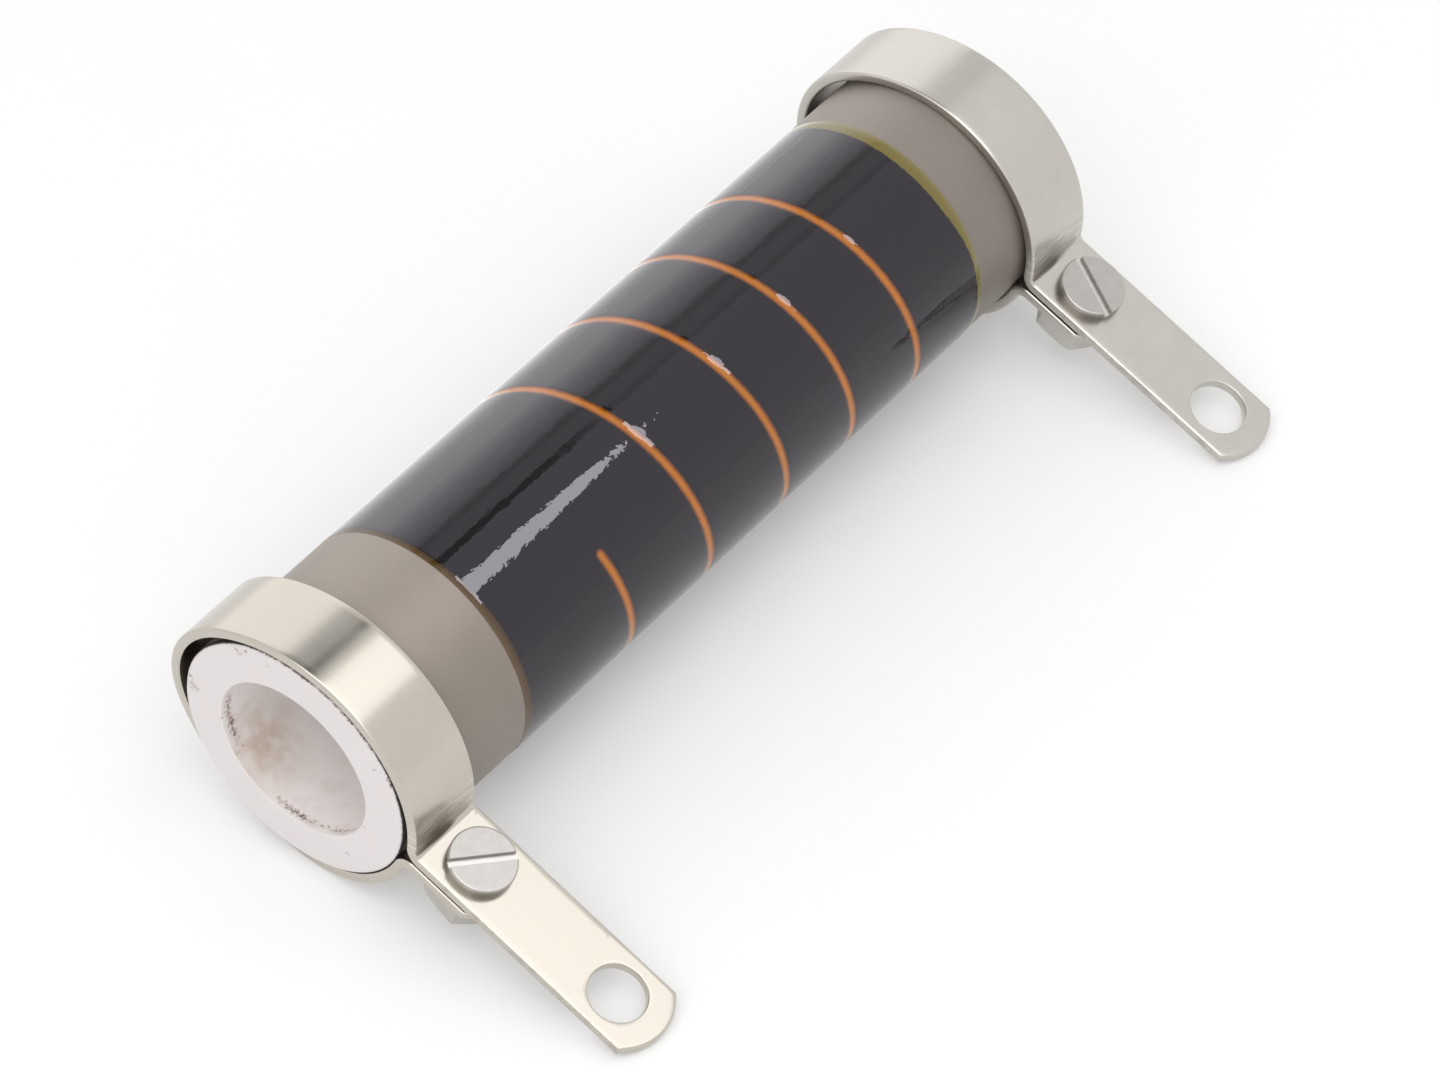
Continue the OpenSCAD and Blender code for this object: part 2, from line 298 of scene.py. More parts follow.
# %% Profile of the tube with soft rims
tube_r, bore_r, face_x, rim, mouth = 14.3, 9.525, 56.0, 0.45, 0.12
plain_bore, tube_steps = 42.0, 300
FULL = 2 * np.pi


def arc(centre, radius, start, end, count):
    """Points of a circle's arc, from one angle in degrees to another."""
    turn = np.radians(np.linspace(start, end, count))
    return stacked(centre[0] + radius * np.cos(turn), centre[1] + radius * np.sin(turn))


def turned(profile, count):
    """Surface of revolution about the tube's axis: place x and radius r of the profile, carried round in
    count steps. Its points are (x, r cos a, r sin a), and the angles a come with them."""
    around = np.linspace(0.0, FULL, count, endpoint=False)
    x, r = profile[:, None, 0], profile[:, None, 1]
    return stacked(x, r * np.cos(around), r * np.sin(around)), around


near_mouth = np.linspace(plain_bore + 1, face_x - mouth, 40)[:-1]
bore_x = join([np.linspace(0, plain_bore, 8), near_mouth])
face_r = np.linspace(bore_r + mouth, tube_r - rim, 24)[1:-1]
outside_x = np.linspace(face_x - rim, 0, 12)[1:]
front_half = join([
    stacked(bore_x, bore_r),
    arc((face_x - mouth, bore_r + mouth), mouth, -90, 0, 9),
    stacked(face_x, face_r),
    arc((face_x - rim, tube_r - rim), rim, 0, 90, 7),
    stacked(outside_x, tube_r)])
rear_half = front_half[::-1] * (-1, 1)
tube_points, tube_turns = turned(join([front_half, rear_half[1:-1]]), tube_steps)
print("profile of", len(front_half) + len(rear_half) - 2, "points")

# %% Chips on the rims
draw = np.random.default_rng(7)


def marks(count, angles, radii, places, sizes, depths):
    """Random marks, one a row: angle in degrees, radius, place along the tube, size and depth in mm."""
    return np.stack([draw.uniform(*span, count) for span in (angles, radii, places, sizes, depths)], -1)


seen_chips = np.array([
    [118, 13.4, 56, 0.80, 0.08], [113, 13.7, 56, 0.50, 0.08], [171, 13.2, 56, 0.95, 0.06],
    [166, 13.7, 56, 0.45, 0.08], [101, 12.7, 56, 0.25, 0.06], [94, 14.0, 55.8, 0.45, 0.14],
    [30, 12.9, 56, 0.30, 0.10], [305, 11.7, 56, 0.45, 0.05], [84, 14.1, 55.7, 0.40, 0.14]])
chips = join([
    seen_chips,
    marks(12, (25, 105), (14.0, 14.2), (55.6, 55.9), (0.15, 0.35), (0.06, 0.14)),
    marks(16, (155, 345), (9.6, 9.9), (55.3, 56.0), (0.15, 0.35), (0.04, 0.12)),
    marks(14, (0, 360), (13.8, 14.2), (-56.0, -55.6), (0.15, 0.40), (0.05, 0.14)),
    marks(16, (0, 360), (9.6, 9.9), (-56.0, -55.3), (0.15, 0.35), (0.04, 0.12))])
outer_pull, bore_pull, slant, chip_soil = -1.0, 0.5, 0.7, 0.5


def chipped(points, chips):
    """Each mark is a bell of its size. Points sink by the sum of depth times bell, away from the nearest rim
    edge: along the tube, and inwards from the outer rim or outwards from the bore."""
    turn, r, x, size, depth = chips.T
    middle = stacked(x, r * np.cos(np.radians(turn)), r * np.sin(np.radians(turn)))
    flat = points.reshape(-1, 3)
    bell = np.exp(-((flat[:, None] - middle) ** 2).sum(-1) / size ** 2)
    sunk, soil = (bell * depth).sum(1), chip_soil * bell.max(1)
    radius = np.hypot(flat[:, 1], flat[:, 2])
    inward = np.where(radius > (tube_r + bore_r) / 2, outer_pull, bore_pull) / radius
    push = stacked(-np.sign(flat[:, 0]), flat[:, 1] * inward, flat[:, 2] * inward) * slant
    return (flat + push * sunk[:, None]).reshape(points.shape), soil.reshape(points.shape[:2])


tube_points, tube_soil = chipped(tube_points, chips)
print(len(chips), "marks, deepest", round(float(chips[:, 4].max()), 2), "mm")

# %% Soil at the mouth of the bore and along the rim
soil_fade = 12.0


def soiled(points, around, ring_x, ring_r, width, angles, density):
    """Soil along a ring on the tube: a bell of the distance to the ring, over a span of angles, times a swell
    of 0.72 plus 0.28 of two sines of 7 and 3 waves round the tube."""
    x, r = points[..., 0], np.hypot(points[..., 1], points[..., 2])
    near = np.exp(-((np.abs(x) - ring_x) ** 2 + (r - ring_r) ** 2) / width ** 2)
    turn = np.degrees(around) % 360
    span = np.clip(np.minimum(turn - angles[0], angles[1] - turn) / soil_fade, 0, 1)
    swell = 0.72 + 0.28 * np.sin(np.radians(7 * turn + 40)) * np.sin(np.radians(3 * turn))
    return near * span * swell * density


soil_rings = [(54.9, 9.53, 0.60, (158, 222), 0.70), (55.2, 9.55, 0.50, (240, 348), 0.64),
              (55.8, 14.2, 0.30, (12, 118), 0.85)]
tube_soil = np.maximum.reduce([tube_soil] + [soiled(tube_points, tube_turns, *ring) for ring in soil_rings])
print("soil on", round(100 * float((tube_soil > 0.3).mean()), 1), "% of the points")

# %% Finish of the ceramic
chalk, milk = (0.735, 0.697, 0.692, 1), (0.795, 0.760, 0.752, 1)
# The first colour on the next line is painted light: a lighter white for the bore's wall.
bore_painted_light, rose = (0.930, 0.885, 0.865, 1), (0.800, 0.700, 0.680, 1)
tea_stain, rust = (0.560, 0.410, 0.310, 1), (0.500, 0.360, 0.330, 1)
soot, strap_shade = (0.120, 0.085, 0.075, 1), (0.045, 0.036, 0.032, 1)
stain_middle, stain_reach = (52.6, -7.3, -6.1), 6.8


def fired_ceramic(wire):
    """Fine grain and slow clouds mix two whites. The bore's wall gets painted light, a lighter white, with a
    brown stain near its mouth.
    Rust and soot show where noise plus the stored soil is high, and the outside gets painted shade under the
    strap."""
    where = surface_mm(wire)
    grain = noise(where, 3.0, 4.0, 0.6)
    cloud = noise(where, 0.22, 2.0)
    speck = noise(where, 2.3, 5.0, 0.66)
    soil = stored(wire, "soil")
    dirty = step(speck + 0.5 * soil, 0.76, 0.84)
    rusty = step(speck + 0.7 * soil, 0.66, 0.88)
    off_axis = measured("LENGTH", stretched(where, (0.0, 1.0, 1.0)))
    inside = 1 - step(off_axis, bore_r + 0.01, bore_r + 0.08)
    blotch = 0.35 + 0.65 * step(noise(where, 0.55, 4.0, 0.6), 0.26, 0.66)
    stain = (1 - step(measured("DISTANCE", where, stain_middle), 0.3, stain_reach)) * blotch
    blush = step(noise(where, 0.45, 2.0, 0.5), 0.52, 0.75) * 0.45
    white = mixed(grain * 0.6 + cloud * 0.4, chalk, milk)
    # Painted light: the bore's wall is lighter than the face.
    pink = mixed(blush, mixed(inside, white, bore_painted_light), rose)
    stained = mixed(stain * inside * 0.72, pink, tea_stain)
    specked = mixed(dirty * 0.9, mixed(rusty * 0.65, stained, rust), soot)
    # Painted shade: a dark ring round the outer rim, where the strap sits close.
    shaded = step(off_axis + 0.16 * (speck - 0.5), tube_r - 0.14, tube_r - 0.04)
    height = 0.5 * grain + 0.5 * noise(where, 9.0, 2.0) - 0.8 * dirty
    return {"Base Color": mixed(shaded, specked, strap_shade), "Roughness": 0.52 + 0.2 * grain,
            "Normal": bumped(height, 0.35, 0.04), "Specular IOR Level": 0.35}


ceramic = finish("fired_ceramic", fired_ceramic)
piece("tube", [grid(tube_points, True, True, soil=tube_soil)], "ceramic_tube", ceramic)

# %% [markdown]
# ## Conductor belts
# A belt is a printed ring of silver-grey conductor, fired onto the tube. It is satin and beige, with faint
# rings from the printing wheel. It could be painted on the tube's own surface, but it is a layer of its own,
# so it is a thin closed ring with soft edges, turned like the tube.

# %% A ring and its finish
belt_r, belt_rim, belt_feather, belt_foot, belt_lift = 14.33, 0.9, 0.3, 0.35, 0.001
# The second number is where the painted shade on the belts is full.
belt_steps, painted_shade_full_at = 200, 13.5


def belt_ring(low, high):
    """Ring from low to high along the tube: up one end, along the outside, down the other end, back inside.
    Its outside climbs from a foot to full height over the feather at each end."""
    outside = np.linspace(low, high, 40)
    lift = np.clip(np.minimum(outside - low, high - outside) / belt_feather, belt_foot, 1.0)
    top = stacked(outside, tube_r + (belt_r - tube_r) * lift)
    return join([[[low, tube_r + belt_lift]], top, [[high, tube_r + belt_lift]]])


def silver_belt(tint_low, tint_high, start):
    """Fired silver: faint rings from noise drawn out round the tube, soft clouds, and painted shade that
    darkens the tint from the place start across the tube towards the lugs."""
    def make(wire):
        where = surface_mm(wire)
        rings = noise(surface_mm(wire, (1.0, 0.06, 0.06)), 1.6, 4.0, 0.6)
        spots = noise(where, 0.28)
        # Painted shade: the belt darkens across the tube towards the lugs.
        belt_painted_shade = step(parts(where).other("Y"), start, painted_shade_full_at)
        bright = 0.6 + 0.15 * rings + 0.25 * spots - 0.65 * belt_painted_shade
        height = 0.6 * noise(where, 7.0, 2.0) + 0.4 * rings
        return {"Base Color": mixed(bright, tint_low, tint_high), "Roughness": 0.36 + 0.16 * spots,
                "Metallic": 0.3, "Normal": bumped(height, 0.25, 0.02)}
    return make


# The last number of each is where the belt's painted shade begins.
belt_silver = {
    "front": finish("pale_belt", silver_belt((0.240, 0.204, 0.174, 1), (0.372, 0.323, 0.279, 1), 3.0)),
    "rear": finish("grey_belt", silver_belt((0.215, 0.186, 0.162, 1), (0.345, 0.302, 0.268, 1), -10.0))}

# %% Two belts
coat_front, coat_rear, coat_lap, film_overlap = 36.8, -39.6, 0.9, 2.5
for end, low, high in (("front", coat_front - coat_lap - film_overlap, face_x - belt_rim),
                       ("rear", belt_rim - face_x, coat_rear + coat_lap + film_overlap)):
    piece(end + "_belt", [grid(turned(belt_ring(low, high), belt_steps)[0], True, True)],
          end + "_conductor_film", belt_silver[end])

# %% [markdown]
# ## Varnished film with its trim cut
# A grinding wheel cuts a helix through the black film until its resistance is right. Amber varnish then
# covers it: black where it lies on film, orange where it lies on the white ceramic of the cut, and olive
# where its rims run out over the belts. A helix could be a curve laid on the tube, but the real one is only a
# dip. So the coat is one grid along and round the tube. Its radius dips over the cut, and the distance to the
# cut's middle is stored with each point, so the finish draws a crisp line from few points.

# %% The helix that the wheel cut
droop = math.radians(21.474027)
cut_start, cut_start_turn, cut_half = face_x - 34.7, math.radians(58.0), 0.6
front_turns, front_pitch, rear_turns, rear_pitch = 2.0, 12.9, 2.25, 11.3
coat_r = 14.45


def advance(turns):
    """How far the cut has gone along the tube: the first turns at one pitch, the rest at a smaller one."""
    return np.minimum(turns, front_turns) * front_pitch + np.maximum(turns - front_turns, 0) * rear_pitch


def from_cut(x, around):
    """Distance in mm from the cut's middle line. The turns made at place x, less the part of a turn that the
    angle stands for, are rounded to a whole turn; beyond an end the way round the tube counts too."""
    gone = cut_start - x
    turns_here = np.where(gone < front_turns * front_pitch, gone / front_pitch,
                          front_turns + (gone - front_turns * front_pitch) / rear_pitch)
    part = ((cut_start_turn - (around + droop)) / FULL) % 1.0
    turns = np.round(turns_here - part) + part
    inside = np.clip(turns, 0.0, front_turns + rear_turns)
    return np.hypot(gone - advance(inside), (turns - inside) * FULL * coat_r)


print("the cut is", round(advance(front_turns + rear_turns), 1), "mm long along the tube")

# %% The coat's grid
film_top, rim_step, under_step, dip_deep, dip_half, far_off = 14.375, 0.02, 0.004, 0.062, 0.5, 3.0
feather = coat_lap * np.linspace(0, 1, 9)[:-1] ** 1.5
coat_x = join([coat_rear + feather, np.linspace(coat_rear + coat_lap, coat_front - coat_lap, 290),
               coat_front - feather[::-1]])
coat_turn = np.linspace(0.0, FULL, 256, endpoint=False)
x, a = np.meshgrid(coat_x, coat_turn, indexing="ij")


def coat_radius(x, a):
    """Radius of the varnish: it climbs from its feathered rims to full height, dips in a bell over the cut,
    and carries slow runs of a few thousandths, as brushed varnish does."""
    rise = np.clip(np.minimum(x - coat_rear, coat_front - x) / coat_lap, 0, 1)
    body = belt_r + rim_step + (coat_r - belt_r - rim_step) * np.sin(0.5 * np.pi * rise)
    dip = dip_deep * np.exp(-(from_cut(x, a) / dip_half) ** 2)
    runs = 0.0018 * np.sin(3 * a + 0.21 * x) + 0.0012 * np.sin(5 * a - 0.33 * x + 1.0) - 0.003
    return body - dip + runs * rise


r = coat_radius(x, a)
coat_points = stacked(x, r * np.cos(a), r * np.sin(a))
on_film = (coat_x < coat_front - coat_lap) & (coat_x > coat_rear + coat_lap)
under_r = np.where(on_film, film_top, belt_r + under_step)
under = turned(stacked(coat_x, under_r)[::20], len(coat_turn))[0][::-1]
coat_rows = join([coat_points, under])
cut_distance = join([np.minimum(from_cut(x, a), far_off), np.full(under.shape[:2], far_off)])
print("coat of", coat_rows.shape[:2], "points, lowest radius", round(float(r.min()), 3), "mm")

# %% Finish of the varnish
bare_orange, pooled_brown = (0.52, 0.168, 0.007, 1), (0.11, 0.024, 0.002, 1)
blue_black, soft_black = (0.0035, 0.0035, 0.0045, 1), (0.0065, 0.0063, 0.0078, 1)
front_edge, front_amber = (0.110, 0.068, 0.024, 1), (0.058, 0.031, 0.006, 1)
rear_edge, rear_olive = (0.20, 0.165, 0.05, 1), (0.165, 0.132, 0.02, 1)
varnish_tint = (1.01, 0.95, 1.05, 1)


def amber_varnish(wire):
    """Orange within the cut's half width, darker where varnish pools at its sides, and black elsewhere. Each
    end has a fringe of amber, whose width changes round the tube. A weak ripple bends the gloss."""
    where = surface_mm(wire)
    along = parts(where)
    wobble = noise(where, 1.3) - 0.5
    tone = noise(where, 0.5)
    cut = stored(wire, "cut") + 0.16 * wobble
    line = 1 - step(cut, cut_half - 0.10, cut_half + 0.06)
    pooled = step(cut, 0.10, cut_half - 0.06)
    orange = mixed(pooled * 0.75 + tone * 0.25, bare_orange, pooled_brown)
    body = mixed(line, mixed(noise(where, 0.35), blue_black, soft_black), orange)
    ragged = 0.30 * wobble
    front_run = 0.6 + 0.4 * step(along.other("Y"), -3.0, 11.0)
    front_depth = (coat_front - along - ragged) / front_run
    front_fringe = 1 - step(front_depth, 0.88, 1.02)
    front_gold = mixed(step(front_depth, 0.0, 0.9), front_edge, front_amber)
    rear_run = 0.75 + 0.80 * step(along.other("Z"), 4.0, 13.3)
    rear_fringe = 1 - step((along + ragged - coat_rear) / rear_run, 0.92, 1.08)
    rear_gold = mixed(step(along, coat_rear, coat_rear + 0.8), rear_edge, rear_olive)
    colour = mixed(rear_fringe, mixed(front_fringe, body, front_gold), rear_gold)
    ripple = noise(surface_mm(wire, (0.5, 1.0, 1.0)), 1.3, 2.0, 0.5)
    return {"Base Color": colour, "Roughness": 0.015 + 0.02 * tone, "Normal": bumped(ripple, 0.14, 0.1),
            "IOR": 1.54, "Specular Tint": varnish_tint}


varnish = finish("amber_varnish", amber_varnish)
coat = piece("coat", [grid(coat_rows, True, True, cut=cut_distance)], "overcoat", varnish)

# %% Finish of the film below
film_black, film_grey = (0.010, 0.010, 0.011, 1), (0.022, 0.021, 0.022, 1)


def carbon_film(wire):
    """Matt black with fine grey specks."""
    speck = noise(surface_mm(wire), 2.0, 4.0)
    return {"Base Color": mixed(speck, film_black, film_grey), "Roughness": 0.5 + 0.2 * speck}


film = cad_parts["resistor_film"]
film.data.materials.clear()
film.data.materials.append(finish("carbon_film", carbon_film))
print("the film keeps its CAD shape under the coat")

# %% [markdown]
# ## Band terminals
# Each terminal is one strip of nickel-plated steel: a lug with a hole, a loop round the tube and a short ear.
# In the shop a flat blank is stamped and then bent, and the mesh is made the same way. The blank is a few
# flat grids with holes, its edges get a rounded profile, and a formula of arcs and straight runs bends every
# point at once. The flat coordinates stay as a UV map, so the rolling grain follows the strip round its
# bends. The front loop leans back a little along the tube, because such a strap is pushed on by hand.

# %% The strap's line from the lug's tip to the ear's end
strap_half, strap_t, seat_r = 4.6, 1.2, 14.35
lug_top, ear_gap, bend_in = 2.5, 0.4, 0.8
lug_slack, shoulder, slack = 0.55, 3.0, 1.1
head_r, nut_flats, head_gap = 3.65, 8.0, 0.05
lug_beyond, ear_beyond = 24.8, 4.6
leave = np.radians(110.0)
leave_way = np.array([np.cos(leave), np.sin(leave)])
lug_side_r, lug_side_c = seat_r + lug_slack, -lug_slack * leave_way
shoulder_r, shoulder_c = seat_r + shoulder, -shoulder * leave_way
slack_c = slack * (2 * shoulder - slack) / (2 * (shoulder * (1 + leave_way[0]) - slack))
slack_r = seat_r + slack - slack_c
slack_turn = np.arctan2(-shoulder_c[1], -slack_c - shoulder_c[0])
lug_under = lug_top - strap_t
ear_top = lug_under - ear_gap
ear_under = ear_top - strap_t
bend_r = bend_in + strap_t


def bend_centre(centre, radius, height):
    """Centre of a bend that runs out of an arc at a given height: Pythagoras on the sum of their radii."""
    reach = math.sqrt((radius + strap_t + bend_in) ** 2 - (height - centre[1]) ** 2)
    return np.array([centre[0] + reach, height])


lug_bend = bend_centre(lug_side_c, lug_side_r, lug_top + bend_in)
ear_bend = bend_centre((0.0, 0.0), seat_r, ear_under - bend_in)
lug_turn = math.atan2(*(lug_bend - lug_side_c)[::-1])
ear_turn = math.atan2(*ear_bend[::-1])
screw_reach = head_gap + max(lug_bend[0] + head_r, ear_bend[0] + nut_flats / math.sqrt(3))
lug_reach, ear_reach = screw_reach + lug_beyond, screw_reach + ear_beyond
print("screw at", round(screw_reach, 3), "lug tip at", round(lug_reach, 3), "mm from the axis")

# %% Straight runs and arcs as rows of numbers
# Each arc: centre, radius of the inner face, +1 if the outer face lies further out, first and last angle
arcs = [(lug_bend, bend_r, -1, 1.5 * np.pi, np.pi + lug_turn),
        (lug_side_c, lug_side_r, 1, lug_turn, leave),
        (shoulder_c, shoulder_r, 1, leave, slack_turn),
        (np.array([-slack_c, 0.0]), slack_r, 1, slack_turn, FULL - slack_turn),
        (shoulder_c * (1, -1), shoulder_r, 1, FULL - slack_turn, FULL - leave),
        (np.array([0.0, 0.0]), seat_r, 1, FULL - leave, FULL + ear_turn),
        (ear_bend, bend_r, -1, np.pi + ear_turn, 0.5 * np.pi)]
lug_run, ear_run = lug_reach - lug_bend[0], ear_reach - ear_bend[0]
lengths = np.array([lug_run] + [radius * abs(last - first) for _, radius, _, first, last in arcs] + [ear_run])
ends = join([[0.0], np.cumsum(lengths)])
print("strip length", round(float(ends[-1]), 2), "mm in", len(lengths), "stretches")


# %% Bending the strip
def laid(u, v, x):
    """Lays the strap's own frame down: u along the lug and v along its normal are turned by the droop."""
    c, s = math.cos(droop), math.sin(droop)
    return stacked(x, u * c + v * s, v * c - u * s)


def bent(along, across, up):
    """Bends points of the flat blank: along the strip from the lug's tip, across it, and up from its inner
    face. On an arc the point is centre + (radius + side * up) * (cos t, sin t); a straight run adds along its
    line."""
    stretch = np.clip(np.searchsorted(ends, along, "right") - 1, 0, len(lengths) - 1)
    gone = along - ends[stretch]
    k = np.clip(stretch - 1, 0, len(arcs) - 1)
    centre = np.array([row[0] for row in arcs])[k]
    radius, side, first, last = (np.array([row[n] for row in arcs], float)[k] for n in (1, 2, 3, 4))
    turn = first + np.sign(last - first) * gone / radius
    u = centre[..., 0] + (radius + side * up) * np.cos(turn)
    v = centre[..., 1] + (radius + side * up) * np.sin(turn)
    on_lug, on_ear = stretch == 0, stretch == len(lengths) - 1
    u = np.where(on_lug, lug_reach - gone, np.where(on_ear, ear_bend[0] + gone, u))
    v = np.where(on_lug, lug_under + up, np.where(on_ear, ear_top - up, v))
    return laid(u, v, across)


print("the lug's tip is at", bent(np.zeros(1), np.zeros(1), np.zeros(1)).round(2).tolist())

# %% The flat blank, inset by its edge rounding
edge, hole_edge = 0.28, 0.12
tip_r, ear_tip_r, lug_hole_r, lug_hole_at = 6.4, 5.6, 3.175, 6.0
screw_hole_r, screw_at, ear_hole_at = 2.2, lug_beyond, ends[-1] - ear_beyond
tip_room, screw_room, seam = 11.0, 4.2, 0.05
half = strap_half - edge
ACROSS = np.linspace(-half, half, 17)
tip_side = tip_r - np.sqrt((tip_r - edge) ** 2 - ACROSS ** 2)
lug_block = np.linspace(tip_side[0], tip_room, 17)
plain_lug = np.linspace(tip_room, screw_at - screw_room, 16)
screw_block = np.linspace(screw_at - screw_room, lug_run - seam, 17)
ear_side = ends[-1] - ear_tip_r + np.sqrt((ear_tip_r - edge) ** 2 - ACROSS ** 2)
ear_block = np.linspace(ends[-2] + seam, ear_side[0], 17)
loop_counts = (20, 66, 28, 44, 28, 74, 20)
loop_arcs = [np.linspace(start, stop, count, endpoint=False)
             for start, stop, count in zip(ends[1:], ends[2:], loop_counts)]
loop = join([[screw_block[-1]]] + loop_arcs + [[ends[-2], ear_block[0]]])


def outline_of(sides, first, last):
    """Closed line round a stretch of the blank: along its first end, up one long side, back along its last
    end and down the other side."""
    up, down = stacked(sides, half), stacked(sides, -half)
    return join([stacked(first, ACROSS)[:-1], up[:-1], stacked(last, ACROSS)[:0:-1], down[:0:-1]])


def round_hole(sides, first, last, centre, radius):
    """Flat ring between a hole and its block's outline: each outline point is joined to the hole's rim
    towards its centre."""
    outline = outline_of(sides, first, last)
    ray = outline - (centre, 0.0)
    rim_points = (centre, 0.0) + radius * ray / np.linalg.norm(ray, axis=1, keepdims=True)
    share = np.linspace(0.0, 1.0, 7)[:, None, None]
    return rim_points + share * (outline - rim_points)


def plain(sides):
    """Flat grid between the two long edges."""
    return stacked(sides[:, None], ACROSS)


lug_ring, screw_ring = lug_hole_r + hole_edge, screw_hole_r + hole_edge
blocks = [(round_hole(lug_block, tip_side, lug_block[-1], lug_hole_at, lug_ring), True),
          (plain(plain_lug), False),
          (round_hole(screw_block, screw_block[0], screw_block[-1], screw_at, screw_ring), True),
          (plain(loop), False),
          (round_hole(ear_block, ear_block[0], ear_side, ear_hole_at, screw_ring), True)]
print("blank of", len(blocks), "flat grids,", sum(block[..., 0].size for block, _ in blocks), "points")


# %% Rounded edges along the outline and the holes
def edge_strip(line, rounding, inwards=1.0):
    """Profile carried round a closed line of the blank: a quarter circle, the flat of the edge and another
    quarter. The offset runs along the mitre of the two neighbouring edges' normals, (a + b) / (1 + a.b)."""
    way = np.roll(line, -1, 0) - line
    normal = stacked(way[:, 1], -way[:, 0]) / np.linalg.norm(way, axis=1, keepdims=True) * inwards
    before = np.roll(normal, 1, 0)
    mitre = (normal + before) / (1 + (normal * before).sum(1, keepdims=True))
    quarter = np.radians(np.linspace(0, 90, 5))
    out = join([np.sin(quarter), np.cos(quarter)]) * rounding
    up = join([strap_t - rounding + rounding * np.cos(quarter), rounding - rounding * np.sin(quarter)])
    place = line[None] + out[:, None, None] * mitre[None]
    return place, np.broadcast_to(up[:, None], place.shape[:2])


long_side = join([lug_block[:-1], plain_lug[:-1], screw_block[:-1], loop[:-1], ear_block])
edges = [edge_strip(outline_of(long_side, tip_side, ear_side), edge, -1.0)]
edges += [edge_strip(block[0], hole_edge) for block, hole in blocks if hole]
print("edges of", [flat.shape[1] for flat, _ in edges], "points")

# %% Finish of the plated strip
# The second colour on the next line is a painted highlight for the crease marks at the bend.
worn_brim, crease_painted_highlight = (0.26, 0.235, 0.205, 1), (0.86, 0.83, 0.77, 1)
crease_at = ends[2] + 1.2


def nickel(tint_low, tint_high, rough):
    """Satin nickel: grain along the strip from its flat coordinates, cloudy tint, faint scratches, a worn
    brim on the lug, and crease marks across the bend, where the plating was stretched, painted pale as
    highlights."""
    def make(wire):
        where = surface_mm(wire)
        flat = wire.node("ShaderNodeTexCoord", out="UV")
        along = parts(flat)
        across = along.other("Y")
        grain = noise(stretched(flat, (0.35, 7.0, 1.0)), 1.0, 4.0, 0.6)
        cloud = noise(where, 0.30)
        pits = noise(where, 3.5, 3.0, 0.6)
        scratch = step(noise(stretched(flat, (0.15, 9.0, 1.0), 0.6), 1.0, 2.0, 0.5, 0.4), 0.70, 0.78)
        on_lug = 1 - step(along, lug_run - 3.0, lug_run)
        worn = on_lug * step(noise(where, 0.5, 4.0, 0.6), 0.46, 0.62)
        brim = step(across.math("ABSOLUTE", across), 4.2, 4.5) * worn
        from_bend = along - crease_at
        at_bend = 1 - step(from_bend.math("ABSOLUTE", from_bend), 1.2, 2.9)
        folds = noise(stretched(flat, (4.0, 0.35, 1.0), 0.2), 1.0, 3.0, 0.6, 0.3)
        crease = at_bend * step(folds, 0.48, 0.62)
        plate = mixed(0.75 * cloud + 0.25 * grain, tint_low, tint_high)
        # The creases are crease marks that also carry a painted highlight.
        colour = mixed(crease * 0.6, mixed(brim * 0.3, plate, worn_brim), crease_painted_highlight)
        height = 0.55 * grain + 0.3 * pits - 0.25 * scratch + 0.6 * crease
        dull = rough + 0.10 * (cloud - 0.5) + 0.06 * (grain - 0.5) + 0.05 * scratch + 0.17 * at_bend
        return {"Base Color": colour, "Metallic": 1.0, "Roughness": dull,
                "Normal": bumped(height, 0.10, 0.03)}
    return make


strap_nickel = {
    "front": finish("warm_nickel", nickel((0.52, 0.482, 0.425, 1), (0.58, 0.542, 0.485, 1), 0.20)),
    "rear": finish("dull_nickel", nickel((0.52, 0.493, 0.45, 1), (0.58, 0.555, 0.515, 1), 0.27))}

# %% Two straps
band_place = {"front": face_x - strap_half, "rear": strap_half - face_x}
lean = {"front": 1.0, "rear": 0.0}
askew_from, askew_span = 140.0, 178.0


def askew(points, lean):
    """Lets the loop's lower left sit back along the tube, by lean times the squared sine of the way through
    a span of angles round the tube."""
    turn = np.degrees(np.arctan2(points[..., 2], points[..., 1])) % 360
    way = np.clip((turn - askew_from) / askew_span, 0.0, 1.0)
    return points - stacked(lean * np.sin(np.pi * way) ** 2, 0.0, 0.0)


def strap(place, lean):
    """All sheets of one strap at its place along the tube: the blank's two faces and its edges, bent."""
    faces = [(block, np.full(block.shape[:2], up), hole) for block, hole in blocks for up in (0.0, strap_t)]
    return [grid(askew(bent(flat[..., 0], place + flat[..., 1], up), lean), False, closed, uv=flat)
            for flat, up, closed in faces + [(flat, up, True) for flat, up in edges]]


for end, place in band_place.items():
    piece(end + "_strap", strap(place, lean[end]), end + "_band_terminal", strap_nickel[end])

# %% [markdown]
# ## Screws and nuts
# A slotted cheese-head screw pulls lug and ear together, with a hex nut underneath. A head could be a turned
# shape with a slot cut by a boolean, but that leaves ragged faces. Here its top is a grid of chords that run
# along the slot, so the slot's walls fall between two columns of it. The rim goes on as rings of the same
# points, under the head and down a real thread. A tone is stored with the points: below 0 on the slot's
# floor, which gets a painted highlight, and above 0 on its walls and on the head's side, which get painted
# shade.

# %% A slotted head
head_h, head_round, slot_half, slot_deep = 1.3, 0.18, 0.45, 0.5
# Tones of painted light: painted shade on the slot's walls and the head's side, a painted highlight on the
# slot's floor.
wall_painted_shade, floor_painted_highlight, side_painted_shade = 0.3, -1.0, 1.0


